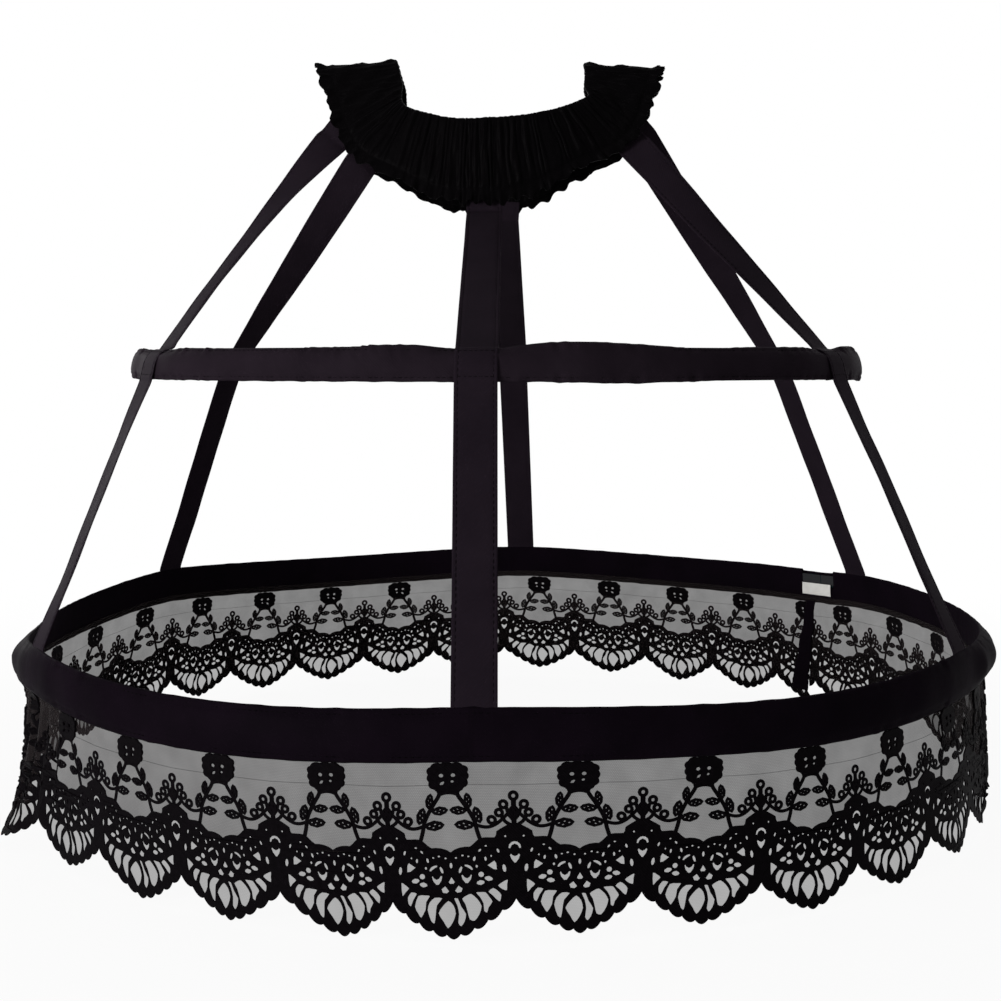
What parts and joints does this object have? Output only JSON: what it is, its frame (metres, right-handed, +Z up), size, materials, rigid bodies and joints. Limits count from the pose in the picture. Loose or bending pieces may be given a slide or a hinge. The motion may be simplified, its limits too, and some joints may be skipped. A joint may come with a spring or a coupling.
{
  "type": "crinoline cage",
  "caption": "Costume crinoline cage: gathered elastic waistband, satin straps, cased hoops and a scalloped lace hem that hold a skirt out from the body.",
  "frame": {"origin": "centre of the waistband, at the middle of its height at the front", "axes": "+Z up along the wearer, -Y towards the front, +X to the right in the picture"},
  "size_m": [0.8171, 0.8168, 0.6045],
  "materials": {
    "satin": "satin",
    "elastic": "matte",
    "steel": "satin",
    "sleeve": "gloss",
    "lace": "matte",
    "label": "matte"
  },
  "bodies": {
    "root": {"waistband": "satin", "waist_elastic": "elastic", "strap_front": "satin", "strap_front_right": "satin", "strap_back_right": "satin", "strap_back": "satin", "strap_back_left": "satin", "strap_front_left": "satin", "upper_hoop_casing": "satin", "upper_hoop_bone": "steel", "upper_hoop_connector": "sleeve", "lower_hoop_casing": "satin", "lower_hoop_bone": "steel", "lower_hoop_connector": "sleeve", "lace_trim": "lace", "lace_seam_tape": "satin", "care_label": "label"}
  },
  "joints": []
}
